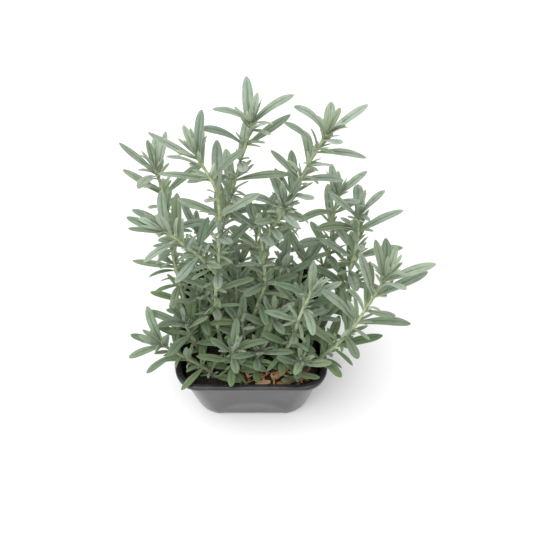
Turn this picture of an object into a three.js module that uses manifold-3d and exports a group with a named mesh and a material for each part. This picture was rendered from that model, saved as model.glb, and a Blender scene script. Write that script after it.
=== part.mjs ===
// Potted Spanish lavender: a young, leafy, flowerless plant in a shallow square pot of soil.
// Millimetres, +Z up, origin in the middle of the pot's base, -Y towards the viewer.
import * as THREE from "three";
import Module from "manifold-3d";

const wasm = await Module();
wasm.setup();

// Pot: half widths are measured from the middle to the flat of each side
const POT_HEIGHT = 52;
const RIM_HALF = 45;
const RIM_CORNER = 15.5;
const LIP_WIDTH = 3.5;
const LIP_DEPTH = 3.4;
const WALL_TOP_HALF = 42.6;
const BASE_HALF = 37;
const BASE_CORNER = 18;
const WALL = 1.2;
const FLOOR_TOP = 3.8;
const ARCH_HEIGHT = 2.6;
const ARCH_HALF = 20;
const PAD_RADIUS = 8;
const DRAIN_RADIUS = 3.5;
const DRAIN_FROM_MIDDLE = 20;
const CORNER_STEPS = 4;
const SOIL_CORNER_STEPS = 3;

// Soil
const GAP = 0.35;
const SOIL_TOP = 42;
const SOIL_EDGE = 40.8;
const ROOT_DEPTH = 33;
const HOLE_CLEARANCE = 0.75;
const HOLE_SIDES = 5;

// Stems
const STEM_BASE_RADIUS = 1.6;
const STEM_TIP_RADIUS = 0.95;
const BRANCH_BASE_RADIUS = 1.3;
const STEM_SIDES = 4; // lavender stems are square, and leaf pairs grow from the flats

// Leaves: [share of the length, share of the width] from root to tip
const GROWN_LEAF = [[0, 0.2], [0.36, 0.84], [0.8, 0.94]];
const YOUNG_LEAF = [[0, 0.3], [0.6, 1]];
const LEAF_WIDTH_LEAST = 2.6;
const LEAF_WIDTH_SHARE = 0.11; // of the length, added to the least width
const YOUNG_WIDTH_SHARE = 0.8; // of a grown leaf's width at the same length
const LEAF_THICKNESS = 0.75;
const LEAF_CLEARANCE = 0.4;
const SKY_TURN_SHARE = 0.8;
const LEAF_ROOT_SHARE = 0.15; // of the stem's radius: how far from its centre line a leaf starts

// Long stems and short shoots. Each has its root's x and y, the points that its stem passes above
// the soil, the pairs of leaves from the share "from" of the stem upwards, the compass turn of the
// first pair, and the length of a full-grown leaf. A branch starts inside the stem listed before it.
const PLANT = [
  {
    name: "stem_back_tall",
    root: [-16, 10],
    stems: [
      { path: [[-16, 11, 90], [-15, 14, 130], [-10, 16, 148], [-5, 18, 170], [2, 21, 198]],
        pairs: 9, from: 0.36, turn: 95, leaf: 28 },
    ],
  },
  {
    name: "stem_left_tall",
    root: [-16, -18],
    stems: [
      { path: [[-20, -13, 76], [-19, -9, 101], [-16, -5, 129], [-15, 2, 167], [-24, 9, 188]],
        pairs: 10, from: 0.24, turn: 5, leaf: 27 },
      { path: [[-18, -7, 114], [-26, -8, 131], [-33, -8, 141], [-42, -6, 150]], branch: true,
        pairs: 5, from: 0.26, turn: 150, leaf: 26 },
    ],
  },
  {
    name: "stem_far_left",
    root: [-33, -3],
    stems: [
      { path: [[-38, 0, 66], [-43, 8, 106], [-43, 14, 130], [-45, 20, 150], [-48, 25, 162]],
        pairs: 8, from: 0.3, turn: 0, leaf: 26 },
    ],
  },
  {
    name: "stem_centre",
    root: [-2, -8],
    stems: [
      { path: [[3, -6, 76], [8, -3, 97], [7, 2, 123], [5, 5, 140]],
        pairs: 6, from: 0.32, turn: 15, leaf: 24 },
      { path: [[8, 1, 118], [12, 6, 140], [21, 11, 156], [28, 16, 170], [38, 22, 190]],
        branch: true, pairs: 7, from: 0.26, turn: 90, leaf: 27 },
      { path: [[11, 5, 136], [15, 4, 147], [18, 4, 157]], branch: true,
        pairs: 2, from: 0.5, turn: 20, leaf: 23 },
    ],
  },
  {
    name: "stem_back_right",
    root: [34, 20],
    stems: [
      { path: [[42, 22, 71], [46, 24, 96], [46, 26, 115], [48, 30, 138]],
        pairs: 7, from: 0.3, turn: 110, leaf: 24 },
    ],
  },
  {
    name: "stem_right",
    root: [33, 1],
    stems: [
      { path: [[42, 3, 62], [55, 6, 80], [57, 8, 101], [59, 12, 121], [58, 15, 138]],
        pairs: 8, from: 0.28, turn: 0, leaf: 29 },
    ],
  },
  {
    name: "stem_far_right",
    root: [33, -26],
    stems: [
      { path: [[40, -28, 57], [47, -28, 70], [53, -27, 82], [59, -25, 95], [65, -21, 109],
        [71, -17, 124]],
        pairs: 8, from: 0.16, turn: 0, leaf: 31 },
    ],
  },
  {
    name: "stem_front_right",
    root: [14, -24],
    stems: [
      { path: [[23, -24, 70], [27, -22, 93], [30, -20, 103], [33, -17, 113]],
        pairs: 6, from: 0.26, turn: 90, leaf: 22 },
    ],
  },
  {
    name: "stem_low_left",
    root: [-23, -32],
    stems: [
      { path: [[-26, -31, 49], [-33, -29, 54], [-43, -26, 60], [-52, -24, 68]],
        pairs: 5, from: 0.2, turn: 165, leaf: 25 },
    ],
  },
  {
    name: "shoot_left_low",
    root: [-31, -17],
    stems: [{ path: [[-34, -17, 58], [-38, -15, 76]], pairs: 4, from: 0.34, turn: 70, leaf: 27 }],
  },
  {
    name: "shoot_left",
    root: [-26, -6],
    stems: [{ path: [[-29, -5, 62], [-30, -2, 84]], pairs: 5, from: 0.32, turn: 20, leaf: 23 }],
  },
  {
    name: "shoot_front_left",
    root: [-11, -28],
    stems: [{ path: [[-11, -30, 56], [-10, -29, 70]], pairs: 5, from: 0.32, turn: 0, leaf: 22 }],
  },
  {
    name: "shoot_front",
    root: [2, -26],
    stems: [{ path: [[3, -27, 54], [5, -27, 66]], pairs: 4, from: 0.34, turn: 80, leaf: 22 }],
  },
  {
    name: "shoot_front_right",
    root: [26, -34],
    stems: [{ path: [[27, -34, 54], [29, -33, 64]], pairs: 4, from: 0.34, turn: 70, leaf: 20 }],
  },
  {
    name: "shoot_middle_left",
    root: [-9, 0],
    stems: [{ path: [[-9, 1, 66], [-8, 3, 92]], pairs: 4, from: 0.4, turn: 30, leaf: 23 }],
  },
  {
    name: "shoot_middle",
    root: [9, -16],
    stems: [{ path: [[11, -15, 60], [13, -13, 82]], pairs: 4, from: 0.36, turn: 10, leaf: 22 }],
  },
  {
    name: "shoot_middle_right",
    root: [24, -10],
    stems: [{ path: [[26, -9, 64], [29, -7, 88]], pairs: 4, from: 0.28, turn: 60, leaf: 22 }],
  },
  {
    name: "shoot_inner_left",
    root: [-4, -18],
    stems: [{ path: [[-4, -18, 60], [-5, -16, 78]], pairs: 4, from: 0.36, turn: 40, leaf: 21 }],
  },
  {
    name: "shoot_inner_right",
    root: [18, -3],
    stems: [{ path: [[18, -2, 62], [20, 0, 84]], pairs: 3, from: 0.4, turn: 80, leaf: 21 }],
  },
  {
    name: "shoot_inner_back",
    root: [-8, 14],
    stems: [{ path: [[-7, 15, 64], [-6, 18, 90]], pairs: 2, from: 0.5, turn: 60, leaf: 21 }],
  },
  {
    name: "shoot_right",
    root: [36, -12],
    stems: [{ path: [[37, -12, 60], [41, -11, 78]], pairs: 3, from: 0.34, turn: 30, leaf: 22 }],
  },
  {
    name: "shoot_centre_back",
    root: [14, 4],
    stems: [{ path: [[17, 6, 70], [19, 9, 99]], pairs: 3, from: 0.45, turn: 0, leaf: 22 }],
  },
  {
    name: "shoot_right_back",
    root: [26, 10],
    stems: [{ path: [[28, 13, 68], [31, 16, 95]], pairs: 3, from: 0.4, turn: 50, leaf: 22 }],
  },
  {
    name: "shoot_back",
    root: [2, 22],
    stems: [{ path: [[3, 25, 76], [3, 29, 109]], pairs: 4, from: 0.4, turn: 10, leaf: 22 }],
  },
  {
    name: "shoot_back_right",
    root: [18, 28],
    stems: [{ path: [[19, 31, 68], [21, 34, 92]], pairs: 2, from: 0.5, turn: 70, leaf: 22 }],
  },
  {
    name: "shoot_back_left",
    root: [-25, 20],
    stems: [{ path: [[-29, 23, 78], [-31, 27, 109]], pairs: 3, from: 0.36, turn: 45, leaf: 23 }],
  },
];

// Bark chips: middle, length, width, thickness, compass turn and tilt in degrees
const CHIPS = [
  { at: [-4.5, -34.6], size: [10, 4.2, 2.2], turn: 16, tilt: 6 },
  { at: [7, -36.6], size: [12.5, 3.8, 2], turn: 6, tilt: -6 },
  { at: [5.4, -31.6], size: [10.5, 3.6, 2.2], turn: -16, tilt: 8 },
  { at: [15.6, -32], size: [10, 3.8, 2], turn: 30, tilt: 6 },
  { at: [21.4, -24.6], size: [9, 3.6, 2], turn: 78, tilt: -8 },
  { at: [18.6, -37], size: [9, 3.4, 2.2], turn: -5, tilt: 5 },
  { at: [31.2, -32.2], size: [9, 4, 2], turn: 58, tilt: -6 },
];

const rad = THREE.MathUtils.degToRad;

// Repeatable random numbers from 0 to 1
function dice(seed) {
  let state = seed;
  return () => (state = (state * 16807) % 2147483647) / 2147483647;
}

// Closed solid from points and triangles, turned the right way out
function solidOf(points, triangles) {
  const vertProperties = new Float32Array(points.flatMap((p) => [p.x, p.y, p.z]));
  const build = (list) => {
    const triVerts = new Uint32Array(list.flat());
    return new wasm.Manifold(new wasm.Mesh({ numProp: 3, vertProperties, triVerts }));
  };
  const made = build(triangles);
  return made.volume() > 0 ? made : build(triangles.map(([a, b, c]) => [a, c, b]));
}

// Solid skin over rings of equal count, closed by a flat cap or by a point at the far end
function skin(rings, tip) {
  const count = rings[0].length;
  const points = rings.flat();
  const triangles = [];
  for (let r = 0; r + 1 < rings.length; r++)
    for (let j = 0; j < count; j++) {
      const a = r * count + j;
      const b = r * count + ((j + 1) % count);
      if (j % 2) triangles.push([a, b, b + count], [a, b + count, a + count]);
      else triangles.push([a, b, a + count], [b, b + count, a + count]);
    }
  const end = (rings.length - 1) * count;
  for (let j = 1; j + 1 < count; j++) {
    triangles.push([0, j + 1, j]);
    if (!tip) triangles.push([end, end + j, end + j + 1]);
  }
  if (tip) {
    points.push(tip);
    for (let j = 0; j < count; j++)
      triangles.push([end + j, end + ((j + 1) % count), points.length - 1]);
  }
  return solidOf(points, triangles);
}

// Square outline with round corners at height z
function roundSquare(half, corner, z, steps = CORNER_STEPS) {
  const outline = [];
  for (let quarter = 0; quarter < 4; quarter++)
    for (let step = 0; step <= steps; step++) {
      const angle = rad(90 * (quarter + step / steps));
      const centre = new THREE.Vector2(half - corner, half - corner).rotateAround(
        new THREE.Vector2(), rad(90 * quarter));
      outline.push(new THREE.Vector3(
        centre.x + corner * Math.cos(angle), centre.y + corner * Math.sin(angle), z));
    }
  return outline;
}

function circle(x, y, z, radius, sides) {
  return Array.from({ length: sides }, (_, i) => {
    const angle = (2 * Math.PI * i) / sides;
    return new THREE.Vector3(x + radius * Math.cos(angle), y + radius * Math.sin(angle), z);
  });
}

function column(x, y, bottom, top, radius, sides) {
  return skin([circle(x, y, bottom, radius, sides), circle(x, y, top, radius, sides)]);
}

// Half width of the pot's outer wall at height z
function wallHalf(z) {
  return BASE_HALF + ((WALL_TOP_HALF - BASE_HALF) * z) / (POT_HEIGHT - LIP_DEPTH);
}

function wallCorner(z) {
  return BASE_CORNER + ((RIM_CORNER - 2 - BASE_CORNER) * z) / (POT_HEIGHT - LIP_DEPTH);
}

function makePot() {
  const lipBottom = POT_HEIGHT - LIP_DEPTH;
  const inside = RIM_HALF - LIP_WIDTH;
  const profile = [
    roundSquare(BASE_HALF - 0.8, BASE_CORNER, 0),
    roundSquare(wallHalf(0.9), wallCorner(0.9), 0.9),
    roundSquare(WALL_TOP_HALF, RIM_CORNER - 2, lipBottom),
    roundSquare(RIM_HALF - 0.6, RIM_CORNER, lipBottom),
    roundSquare(RIM_HALF, RIM_CORNER, lipBottom + 0.8),
    roundSquare(RIM_HALF, RIM_CORNER, POT_HEIGHT - 0.9),
    roundSquare(RIM_HALF - 0.8, RIM_CORNER - 0.5, POT_HEIGHT),
    roundSquare(inside + 0.7, RIM_CORNER - 3, POT_HEIGHT),
    roundSquare(inside, RIM_CORNER - 3.4, POT_HEIGHT - 0.8),
    roundSquare(WALL_TOP_HALF - WALL, RIM_CORNER - 3.5, lipBottom),
    roundSquare(wallHalf(FLOOR_TOP + 1) - WALL, wallCorner(FLOOR_TOP), FLOOR_TOP + 1),
    roundSquare(wallHalf(FLOOR_TOP) - WALL - 0.9, wallCorner(FLOOR_TOP), FLOOR_TOP),
  ];
  return skin(profile).subtract(makeArches()).subtract(makeDrains());
}

// Cross-shaped recess under the base that leaves four corner feet and a round middle pad
function makeArches() {
  const bar = (longX, longY) => {
    const rectangle = (grow, z) =>
      [[1, 1], [-1, 1], [-1, -1], [1, -1]].map(([sx, sy]) =>
        new THREE.Vector3(sx * (longX + grow), sy * (longY + grow), z));
    return skin([rectangle(6, -1), rectangle(0, ARCH_HEIGHT)]);
  };
  const cross = bar(60, ARCH_HALF - 6).add(bar(ARCH_HALF - 6, 60));
  return cross.subtract(column(0, 0, -2, ARCH_HEIGHT + 1, PAD_RADIUS, 16));
}

function makeDrains() {
  const places = [[1, 0], [0, 1], [-1, 0], [0, -1]];
  return wasm.Manifold.union(places.map(([x, y]) =>
    column(x * DRAIN_FROM_MIDDLE, y * DRAIN_FROM_MIDDLE, -1, FLOOR_TOP + 1, DRAIN_RADIUS, 10)));
}

// Uneven soil height at x, y
function soilHeight(x, y) {
  const swell = 0.7 * Math.sin(0.31 * x + 1) * Math.cos(0.27 * y);
  return SOIL_TOP + swell + 0.5 * Math.sin(0.83 * x - 0.59 * y);
}

// Soil block with a plain hole for every stem and a hollow under every chip
function makeSoil(chipHollows) {
  const clear = WALL + GAP;
  const bottom = FLOOR_TOP + GAP;
  const level = (inset, z) =>
    roundSquare(wallHalf(z) - clear - inset, wallCorner(z), z, SOIL_CORNER_STEPS);
  const rings = [level(1, bottom), level(0, bottom + 1), level(0, SOIL_EDGE)];
  for (const share of [0.88, 0.7, 0.48, 0.24])
    rings.push(roundSquare(40 * share, 14 * share, 0, SOIL_CORNER_STEPS)
      .map((p) => new THREE.Vector3(p.x, p.y, soilHeight(p.x, p.y))));
  const block = skin(rings, new THREE.Vector3(0, 0, soilHeight(0, 0)));
  const holes = PLANT.map(({ root: [x, y] }) =>
    column(x, y, ROOT_DEPTH - GAP, SOIL_TOP + 5, STEM_BASE_RADIUS + HOLE_CLEARANCE, HOLE_SIDES));
  return block.subtract(wasm.Manifold.union([...holes, ...chipHollows]));
}

// Broken bark chip, six-sided, with uneven corners, grown by a clearance for its hollow in the soil
function makeChip({ at: [x, y], size, turn, tilt }, seed, grow) {
  const roll = dice(seed);
  const wobble = Array.from({ length: 12 }, () => 0.72 + 0.36 * roll());
  const place = new THREE.Matrix4()
    .makeRotationFromEuler(new THREE.Euler(rad(tilt), rad(tilt / 2), rad(turn), "ZYX"))
    .setPosition(x, y, soilHeight(x, y) + size[2] * 0.2);
  const layer = (level, first) =>
    wobble.slice(first, first + 6).map((reach, i) => {
      const angle = rad(60 * i + 20);
      return new THREE.Vector3(
        (size[0] / 2) * reach * Math.cos(angle) + Math.sign(Math.cos(angle)) * grow,
        (size[1] / 2) * reach * Math.sin(angle) + Math.sign(Math.sin(angle)) * grow,
        level * (size[2] / 2 + grow)).applyMatrix4(place);
    });
  return skin([layer(-1, 0), layer(1, 6)]);
}

// Centre line of a stem. A rooted one stands upright in its hole first.
function centreLine(path, branch, [x, y]) {
  const rooted = branch ? [] : [[x, y, ROOT_DEPTH], [x, y, SOIL_TOP + 2]];
  return new THREE.CatmullRomCurve3(
    [...rooted, ...path].map((p) => new THREE.Vector3(...p)), false, "catmullrom");
}

// Directions across a curve at t: along it, to its right and to its back
function crossAt(curve, t) {
  const along = curve.getTangent(t);
  const right = new THREE.Vector3(0, 1, 0).cross(along).normalize();
  const back = along.clone().cross(right);
  return { along, right, back };
}

function stemRadius({ branch }, t) {
  return THREE.MathUtils.lerp(branch ? BRANCH_BASE_RADIUS : STEM_BASE_RADIUS, STEM_TIP_RADIUS, t);
}

function makeTube(stem, curve, grow) {
  const steps = curve.points.length + 1;
  const rings = [];
  for (let i = 0; i <= steps; i++) {
    const t = i / steps;
    const { right, back } = crossAt(curve, t);
    const radius = stemRadius(stem, t) + grow;
    const ring = [];
    for (let side = 0; side < STEM_SIDES; side++) {
      const angle = rad(stem.turn + 45 + (360 * side) / STEM_SIDES);
      ring.push(curve.getPoint(t)
        .addScaledVector(right, radius * Math.cos(angle)).addScaledVector(back, radius * Math.sin(angle)));
    }
    rings.push(ring);
  }
  return skin(rings);
}

// Turn in degrees about its own line that brings a leaf's face towards the sky, as on leaning stems
function skyTurn({ along, out, across, lift, bend }) {
  const now = rad(lift + bend / 2);
  const up = along.z * Math.sin(now) - out.z * Math.cos(now);
  const turn = THREE.MathUtils.radToDeg(Math.atan2(-across.z, up));
  return SKY_TURN_SHARE * THREE.MathUtils.clamp(turn, -90, 90);
}

// Point and directions at share s of a leaf that leans out by lift and bends by bend, in degrees
function leafAt(leaf, s) {
  const { start, along, out, across, length, lift, bend, sky, twist } = leaf;
  const first = rad(lift);
  const curl = rad(bend) + 1e-4;
  const now = first + curl * s;
  const at = start.clone()
    .addScaledVector(along, (length * (Math.sin(now) - Math.sin(first))) / curl)
    .addScaledVector(out, (length * (Math.cos(first) - Math.cos(now))) / curl);
  const up = along.clone().multiplyScalar(Math.sin(now)).addScaledVector(out, -Math.cos(now));
  const roll = rad(sky + twist * s);
  const side = across.clone().multiplyScalar(Math.cos(roll)).addScaledVector(up, Math.sin(roll));
  const face = up.multiplyScalar(Math.cos(roll)).addScaledVector(across, -Math.sin(roll));
  return { at, side, face };
}

// Leaf blade with a keel below. A grown one also rises above, as a probe of the room that it needs.
function makeBlade(leaf, grow) {
  const rings = (leaf.young ? YOUNG_LEAF : GROWN_LEAF).map(([s, share]) => {
    const { at, side, face } = leafAt(leaf, s);
    const half = (leaf.width * share) / 2 + grow;
    const point = (x, z) => at.clone().addScaledVector(side, x).addScaledVector(face, z);
    const top = grow ? [point(0, grow)] : [];
    return [point(0, -LEAF_THICKNESS - grow), point(half, 0), ...top, point(-half, 0)];
  });
  return skin(rings, leafAt(leaf, 1 + grow / leaf.length).at);
}

// Ways to place one leaf, from as grown to bent aside and shortened
function* waysFor(leaf, { along, right, back }) {
  for (const scale of [1, 0.8, 0.62])
    for (const lean of [0, -14, 14, -26])
      for (const turn of [0, 16, -16, 32, -32]) {
        const angle = rad(leaf.compass + turn);
        const out = right.clone().multiplyScalar(Math.cos(angle)).addScaledVector(back, Math.sin(angle));
        const way = {
          ...leaf, along, out,
          start: leaf.base.clone().addScaledVector(out, leaf.reach),
          across: along.clone().cross(out),
          lift: Math.max(leaf.lift + lean, 4),
          length: leaf.length * scale,
        };
        yield { ...way, sky: skyTurn(way) };
      }
}

// Leaves of one stem: pairs set crosswise and closer towards the tip, young ones in their axils,
// and a tuft at the tip
function leavesOf(stem, curve, roll) {
  const leaves = [];
  const whole = curve.getLength();
  const spread = () => 2 * roll() - 1;
  const add = (height, compass, length, lift, bend, young) =>
    leaves.push({
      t: curve.getUtoTmapping(height / whole),
      young,
      compass: compass + 12 * spread(),
      length: length * (1 + 0.12 * spread()),
      lift: lift + 9 * spread(),
      bend: bend + 18 * spread() + (roll() < 0.15 ? 45 : 0),
      twist: 14 * spread(),
    });
  for (let i = 0; i < stem.pairs; i++) {
    const share = i / stem.pairs;
    const height = whole * (1 - (1 - stem.from) * (1 - share) ** 1.3);
    const size = stem.leaf * (0.78 + 0.5 * share - 0.3 * share * share);
    for (const side of [0, 180]) {
      const compass = stem.turn + 90 * i + side;
      add(height, compass, size, 60 - 22 * share, 24 - 8 * share, false);
      const axil = roll();
      if (axil < 0.2) add(height + 1.5, compass + 90 * (axil - 0.12), size * 0.5, 26, 12, true);
    }
  }
  const last = stem.turn + 90 * stem.pairs;
  for (const side of [0, 180]) {
    add(whole - 2.4, last + side, stem.leaf * 0.9, 27, 12, false);
    add(whole - 0.9, last + 90 + side, stem.leaf * 0.6, 14, 8, true);
  }
  return leaves;
}

function boxesMeet(a, b) {
  return a.min.every((low, i) => low < b.max[i] && b.min[i] < a.max[i]);
}

// Whether a probe solid is clear of every obstacle
function isClear(probe, obstacles) {
  const box = probe.boundingBox();
  return obstacles.every((o) => !boxesMeet(box, o.box) || probe.intersect(o.solid).isEmpty());
}

const obstacle = (solid, owner) => ({ solid, owner, box: solid.boundingBox() });

// Leafy stem in one solid: each leaf takes the first way that is clear of all other pieces
function growPlant(plant, lines, others) {
  const own = [];
  const solids = lines.map(({ tube }) => tube);
  for (const { stem, curve, roll } of lines)
    for (const leaf of leavesOf(stem, curve, roll)) {
      const cross = crossAt(curve, leaf.t);
      leaf.base = curve.getPoint(leaf.t);
      leaf.reach = LEAF_ROOT_SHARE * stemRadius(stem, leaf.t);
      leaf.width = (LEAF_WIDTH_LEAST + LEAF_WIDTH_SHARE * leaf.length) *
        (leaf.young ? YOUNG_WIDTH_SHARE : 1);
      let second = null;
      let chosen = null;
      for (const way of waysFor(leaf, cross)) {
        const probe = makeBlade(way, LEAF_CLEARANCE);
        if (!isClear(probe, others)) continue;
        second ??= way;
        if (!isClear(tipHalf(way), own)) continue;
        chosen = way;
        break;
      }
      chosen ??= second;
      if (!chosen) continue;
      const blade = makeBlade(chosen, 0);
      solids.push(blade);
      own.push(obstacle(blade));
    }
  return wasm.Manifold.union(solids);
}

// Outer two thirds of a leaf, which stays clear of its own stem's other leaves where it can
function tipHalf(leaf) {
  const rings = [[0.36, 0.7], [0.68, 1]].map(([s, share]) => {
    const { at, side, face } = leafAt(leaf, s);
    const half = (leaf.width * share) / 2;
    const point = (x, z) => at.clone().addScaledVector(side, x).addScaledVector(face, z);
    return [point(0, -1), point(half, 0), point(-half, 0)];
  });
  return skin(rings, leafAt(leaf, 1).at);
}

function meshOf(name, solid, colour, roughness) {
  const { vertProperties, triVerts } = solid.getMesh();
  const geometry = new THREE.BufferGeometry()
    .setAttribute("position", new THREE.BufferAttribute(vertProperties, 3))
    .setIndex(new THREE.BufferAttribute(triVerts, 1));
  const smooth = geometry.toNonIndexed();
  smooth.computeVertexNormals();
  const material = new THREE.MeshStandardMaterial({ color: colour, roughness, metalness: 0 });
  const mesh = new THREE.Mesh(smooth, material);
  mesh.name = name;
  return mesh;
}

const group = new THREE.Group();
group.name = "potted_spanish_lavender";

const pot = makePot();
const soil = makeSoil(CHIPS.map((chip, i) => makeChip(chip, i + 11, GAP)));
group.add(meshOf("pot", pot, 0x151617, 0.3), meshOf("soil", soil, 0x1d1814, 0.95));
const chips = CHIPS.map((chip, i) => makeChip(chip, i + 11, 0));
chips.forEach((chip, i) => group.add(meshOf("bark_chip_" + (i + 1), chip, 0xb98048, 0.85)));

// Stems first, so that every leaf can keep clear of them
const stemLines = PLANT.map(({ root, stems }, index) =>
  stems.map((stem, place) => {
    const curve = centreLine(stem.path, stem.branch, root);
    const roll = dice(1000 * index + 100 * place + 77);
    return { stem, curve, roll, tube: makeTube(stem, curve, 0), guard: makeTube(stem, curve, GAP) };
  }));
const obstacles = [pot, soil, ...chips].map((solid) => obstacle(solid, -1));
stemLines.forEach((lines, owner) => lines.forEach(({ guard }) => obstacles.push(obstacle(guard, owner))));

PLANT.forEach((plant, index) => {
  const others = obstacles.filter(({ owner }) => owner !== index);
  const solid = growPlant(plant, stemLines[index], others);
  obstacles.push(obstacle(solid, index));
  group.add(meshOf(plant.name, solid, 0x8fa08c, 0.8));
});

export default group;
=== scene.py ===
"""Looks of the potted Spanish lavender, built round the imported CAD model. Lengths in the tables are
in millimetres, as in the part's source; every mesh is made in metres."""

import math

import bmesh
import bpy
import numpy as np
from mathutils import Matrix, Vector, kdtree, noise
from mathutils.bvhtree import BVHTree


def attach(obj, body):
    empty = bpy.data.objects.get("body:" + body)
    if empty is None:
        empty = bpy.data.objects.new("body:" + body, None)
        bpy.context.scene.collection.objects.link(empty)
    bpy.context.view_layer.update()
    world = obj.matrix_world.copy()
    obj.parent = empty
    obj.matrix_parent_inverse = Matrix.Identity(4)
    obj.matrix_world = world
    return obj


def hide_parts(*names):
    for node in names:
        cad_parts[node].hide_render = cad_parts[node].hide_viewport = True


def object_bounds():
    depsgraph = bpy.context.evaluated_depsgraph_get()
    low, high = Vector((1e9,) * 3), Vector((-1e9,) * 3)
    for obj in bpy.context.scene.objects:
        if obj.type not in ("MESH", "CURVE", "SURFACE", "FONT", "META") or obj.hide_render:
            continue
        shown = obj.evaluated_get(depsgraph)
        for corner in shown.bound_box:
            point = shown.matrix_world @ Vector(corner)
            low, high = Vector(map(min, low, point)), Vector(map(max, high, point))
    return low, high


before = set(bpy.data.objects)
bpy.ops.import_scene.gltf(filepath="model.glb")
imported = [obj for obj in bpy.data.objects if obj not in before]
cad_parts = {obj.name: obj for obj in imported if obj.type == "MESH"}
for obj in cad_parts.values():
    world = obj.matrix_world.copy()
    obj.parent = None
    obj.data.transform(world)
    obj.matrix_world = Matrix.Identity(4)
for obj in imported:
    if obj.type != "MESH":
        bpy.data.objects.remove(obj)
cad_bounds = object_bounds()
MM = 0.001

# Camera, fitted to the pot's lip and wall in the photo
CAMERA_AT = (9.0, -233.4, 435.8)
CAMERA_ELEVATION = 54.3
CAMERA_LENS = 49.2

# Pot
POT_HEIGHT = 52
RIM_HALF = 45
RIM_CORNER = 15.5
LIP_WIDTH = 3.5
LIP_DEPTH = 3.4
WALL_TOP_HALF = 42.6
BASE_HALF = 37
BASE_CORNER = 18
WALL = 1.2
FLOOR_TOP = 3.8
ARCH_HEIGHT = 2.6
ARCH_HALF = 20
PAD_RADIUS = 8
DRAIN_RADIUS = 3.5
DRAIN_FROM_MIDDLE = 20

# Soil and stems
SOIL_TOP = 42
ROOT_DEPTH = 33
STEM_BASE_RADIUS = 1.6
STEM_TIP_RADIUS = 0.95
BRANCH_BASE_RADIUS = 1.3

# Leaves
GROWN_LEAF_END = (0.8, 0.94)
YOUNG_LEAF_END = (0.6, 1)
LEAF_WIDTH_LEAST = 2.6
LEAF_WIDTH_SHARE = 0.11
YOUNG_WIDTH_SHARE = 0.8
SKY_TURN_SHARE = 0.8
LEAF_ROOT_SHARE = 0.15

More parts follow.
